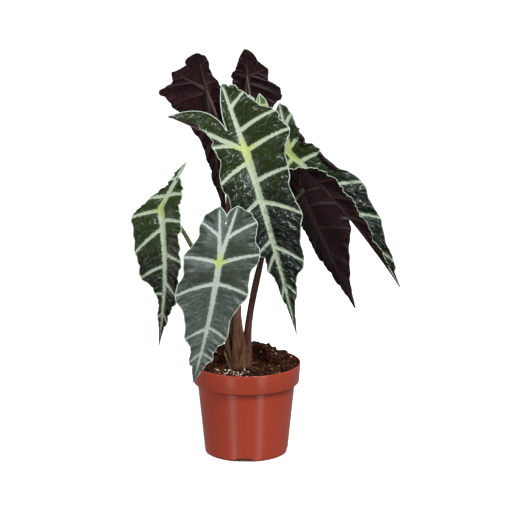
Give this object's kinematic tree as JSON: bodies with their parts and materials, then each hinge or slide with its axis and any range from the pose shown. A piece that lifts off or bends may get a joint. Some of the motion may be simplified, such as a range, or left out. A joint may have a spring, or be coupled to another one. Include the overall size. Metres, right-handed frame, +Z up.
{
  "type": "potted alocasia",
  "caption": "Potted alocasia: arrow-shaped dark green leaves with pale ribs and maroon undersides, on brown stalks, in a terracotta-coloured plastic nursery pot.",
  "frame": {"origin": "centre of the pot's flat underside, on the pot's axis", "axes": "+Z up along the pot's axis; -Y is the front, towards the viewer of the picture; +X is the viewer's right"},
  "size_m": [0.2884, 0.1976, 0.4379],
  "materials": {
    "terracotta_plastic": "satin moulded",
    "peat_soil": "crumbly, matt",
    "corm_skin": "rough, papery",
    "stalk_skin": "smooth, faintly striped",
    "dry_sheath": "dry, papery",
    "green_leaf": "glossy, waxy, with pale ribs",
    "maroon_leaf": "satin underside, maroon"
  },
  "bodies": {
    "root": {"pot": "terracotta_plastic", "soil": "peat_soil", "corm": "corm_skin", "stalk_centre": "stalk_skin", "stalk_front": "stalk_skin", "stalk_left": "stalk_skin", "stalk_right": "stalk_skin", "stalk_right_back": "stalk_skin", "stalk_back_left": "stalk_skin", "stalk_back_centre": "stalk_skin", "stalk_young": "stalk_skin", "leaf_centre": "green_leaf", "leaf_front": "green_leaf", "leaf_left": "green_leaf", "leaf_right": "green_leaf", "leaf_right_back": "maroon_leaf", "leaf_back_left": "maroon_leaf", "leaf_back_centre": "maroon_leaf", "leaf_young": "green_leaf", "sheath_left": "dry_sheath", "sheath_front": "dry_sheath"}
  },
  "joints": []
}
